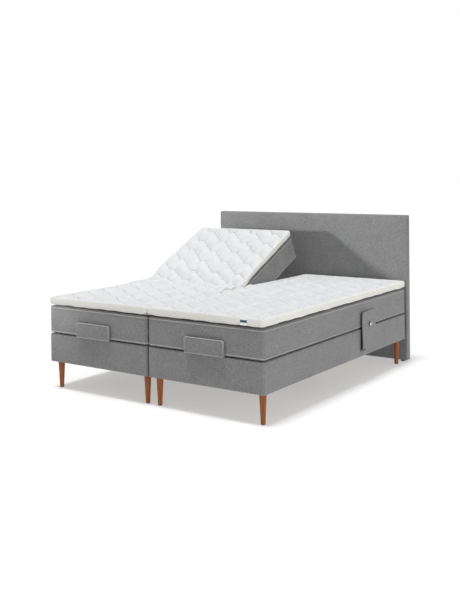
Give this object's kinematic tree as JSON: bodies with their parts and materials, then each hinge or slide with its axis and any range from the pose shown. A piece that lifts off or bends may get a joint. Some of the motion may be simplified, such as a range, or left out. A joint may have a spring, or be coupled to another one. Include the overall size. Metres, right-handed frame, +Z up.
{
  "type": "adjustable bed",
  "caption": "Adjustable twin bed: two upholstered motor boxes on tapered wooden legs, folding lifting decks with twin drives, grey mattresses, white quilted toppers and a headboard.",
  "frame": {"origin": "on the floor, under the middle of the whole bed's bounding box", "axes": "+X to the right seen from the foot, +Y from the foot to the headboard, +Z up"},
  "size_m": [1.849, 2.117, 1.15],
  "materials": {
    "grey_upholstery": "mid grey melange weave",
    "mattress_cover": "mid grey melange weave with piping",
    "headboard_fabric": "mid grey melange weave",
    "quilted_ticking": "white quilted knit",
    "stained_beech": "red-brown satin lacquer",
    "birch_plywood": "sanded, unlacquered",
    "powder_coated_steel": "black powder coat",
    "zinc_plated_steel": "zinc plated",
    "black_plastic": "fine spark-eroded texture",
    "white_nylon": "moulded, natural",
    "snap_chrome": "black cap with a bright metal centre"
  },
  "bodies": {
    "base": {"motor_box_left": "grey_upholstery", "motor_box_right": "grey_upholstery", "leg_foot_outer_left": "stained_beech", "leg_foot_inner_left": "stained_beech", "leg_head_outer_left": "stained_beech", "leg_head_inner_left": "stained_beech", "leg_foot_outer_right": "stained_beech", "leg_foot_inner_right": "stained_beech", "leg_head_outer_right": "stained_beech", "leg_head_inner_right": "stained_beech", "base_frame_left": "powder_coated_steel", "base_frame_right": "powder_coated_steel", "seat_deck_left": "birch_plywood", "seat_deck_right": "birch_plywood", "drive_housing_left": "black_plastic", "drive_housing_right": "black_plastic", "mattress_back_bend_left": "mattress_cover", "mattress_back_bend_right": "mattress_cover", "topper_back_bend_left": "quilted_ticking", "topper_back_bend_right": "quilted_ticking", "handset_pocket_left": "grey_upholstery", "handset_pocket_right": "grey_upholstery", "pocket_snap_left": "snap_chrome", "pocket_snap_right": "snap_chrome", "headboard_bracket_left": "zinc_plated_steel", "headboard_bracket_right": "zinc_plated_steel", "handset_right": "black_plastic", "headboard": "headboard_fabric", "headboard_glide_left": "black_plastic", "headboard_glide_right": "black_plastic"},
    "back_left": {"back_frame_left": "powder_coated_steel", "back_deck_left": "birch_plywood", "mattress_back_left": "mattress_cover", "topper_back_left": "quilted_ticking"},
    "thigh_left": {"thigh_frame_left": "powder_coated_steel", "thigh_deck_left": "birch_plywood", "knee_pin_left": "zinc_plated_steel", "mattress_leg_bend_left": "mattress_cover", "topper_leg_bend_left": "quilted_ticking"},
    "calf_left": {"calf_deck_left": "birch_plywood", "mattress_retainer_left": "grey_upholstery", "mattress_calf_left": "mattress_cover", "topper_calf_left": "quilted_ticking"},
    "back_drive_slider_left": {"back_slider_left": "white_nylon"},
    "leg_drive_slider_left": {"leg_slider_left": "white_nylon"},
    "back_right": {"back_frame_right": "powder_coated_steel", "back_deck_right": "birch_plywood", "mattress_back_right": "mattress_cover", "topper_back_right": "quilted_ticking"},
    "thigh_right": {"thigh_frame_right": "powder_coated_steel", "thigh_deck_right": "birch_plywood", "knee_pin_right": "zinc_plated_steel", "mattress_leg_bend_right": "mattress_cover", "topper_leg_bend_right": "quilted_ticking"},
    "calf_right": {"calf_deck_right": "birch_plywood", "mattress_retainer_right": "grey_upholstery", "mattress_calf_right": "mattress_cover", "topper_calf_right": "quilted_ticking"},
    "back_drive_slider_right": {"back_slider_right": "white_nylon"},
    "leg_drive_slider_right": {"leg_slider_right": "white_nylon"}
  },
  "joints": [
    {"name": "back_lift_left", "type": "hinge", "parent": "base", "child": "back_left", "pos_m": [-0.451, 0.0235, 0.33], "axis": [1, 0, 0], "range_deg": [-26, 34], "deforming": ["mattress_back_bend_left", "topper_back_bend_left"]},
    {"name": "thigh_lift_left", "type": "hinge", "parent": "base", "child": "thigh_left", "pos_m": [-0.451, -0.2165, 0.33], "axis": [-1, 0, 0], "range_deg": [0, 30], "deforming": ["mattress_leg_bend_left", "topper_leg_bend_left"]},
    {"name": "knee_fold_left", "type": "hinge", "parent": "thigh_left", "child": "calf_left", "pos_m": [-0.451, -0.5765, 0.367], "axis": [1, 0, 0], "range_deg": [0, 42], "deforming": ["mattress_leg_bend_left", "topper_leg_bend_left"]},
    {"name": "back_drive_left", "type": "slide", "parent": "base", "child": "back_drive_slider_left", "axis": [0, 1, 0], "range_m": [-0.0349, 0.0455]},
    {"name": "leg_drive_left", "type": "slide", "parent": "base", "child": "leg_drive_slider_left", "axis": [0, -1, 0], "range_m": [0, 0.0416]},
    {"name": "back_lift_right", "type": "hinge", "parent": "base", "child": "back_right", "pos_m": [0.451, 0.0235, 0.33], "axis": [1, 0, 0], "range_deg": [0, 60], "deforming": ["mattress_back_bend_right", "topper_back_bend_right"]},
    {"name": "thigh_lift_right", "type": "hinge", "parent": "base", "child": "thigh_right", "pos_m": [0.451, -0.2165, 0.33], "axis": [-1, 0, 0], "range_deg": [0, 30], "deforming": ["mattress_leg_bend_right", "topper_leg_bend_right"]},
    {"name": "knee_fold_right", "type": "hinge", "parent": "thigh_right", "child": "calf_right", "pos_m": [0.451, -0.5765, 0.367], "axis": [1, 0, 0], "range_deg": [0, 42], "deforming": ["mattress_leg_bend_right", "topper_leg_bend_right"]},
    {"name": "back_drive_right", "type": "slide", "parent": "base", "child": "back_drive_slider_right", "axis": [0, 1, 0], "range_m": [0, 0.0802]},
    {"name": "leg_drive_right", "type": "slide", "parent": "base", "child": "leg_drive_slider_right", "axis": [0, -1, 0], "range_m": [0, 0.0416]}
  ],
  "couplings": [
    {"joint": "back_drive_left", "follows": "back_lift_left", "m_per_rad": 0.07639},
    {"joint": "leg_drive_left", "follows": "thigh_lift_left", "m_per_rad": 0.07909},
    {"joint": "knee_fold_left", "follows": "thigh_lift_left", "ratio": 1.4},
    {"joint": "back_drive_right", "follows": "back_lift_right", "m_per_rad": 0.07639},
    {"joint": "leg_drive_right", "follows": "thigh_lift_right", "m_per_rad": 0.07909},
    {"joint": "knee_fold_right", "follows": "thigh_lift_right", "ratio": 1.4}
  ]
}
